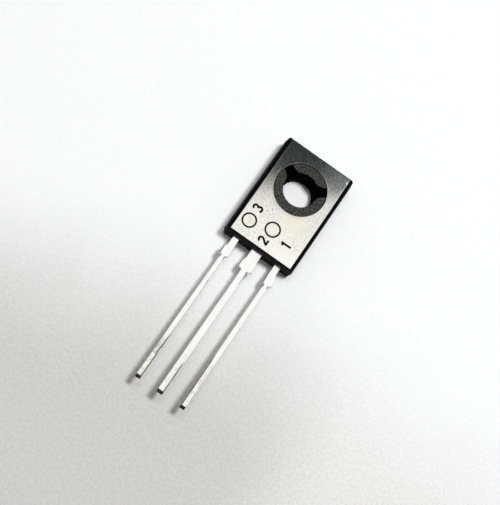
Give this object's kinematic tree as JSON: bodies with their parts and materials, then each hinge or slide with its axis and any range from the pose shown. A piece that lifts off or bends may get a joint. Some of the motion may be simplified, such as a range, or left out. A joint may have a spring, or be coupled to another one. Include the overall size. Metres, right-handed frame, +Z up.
{
  "type": "triac",
  "caption": "Flat three-lead triac: a moulded plastic case round a bare metal heat-spreader face, with an insulated screw hole and long straight flat leads.",
  "frame": {"origin": "on the screw hole's axis, in the plane of the plastic face that the part rests on", "axes": "+X across the package, +Y along it away from the leads, +Z up through the metal face"},
  "size_m": [0.0076, 0.0271, 0.0026],
  "materials": {
    "moulding_compound": "fine matt mould texture",
    "nickel_plate": "satin plating over copper, finely mottled",
    "tinned_lead": "bright tin plating over copper",
    "solder": "dull",
    "silicon": "polished",
    "bond_wire": "drawn"
  },
  "bodies": {
    "root": {"moulded_case": "moulding_compound", "heat_spreader": "nickel_plate", "lead_mt1": "tinned_lead", "lead_mt2": "tinned_lead", "lead_gate": "tinned_lead", "mt2_lead_solder": "solder", "die_solder": "solder", "triac_die": "silicon", "mt1_wire": "bond_wire", "gate_wire": "bond_wire"}
  },
  "joints": []
}
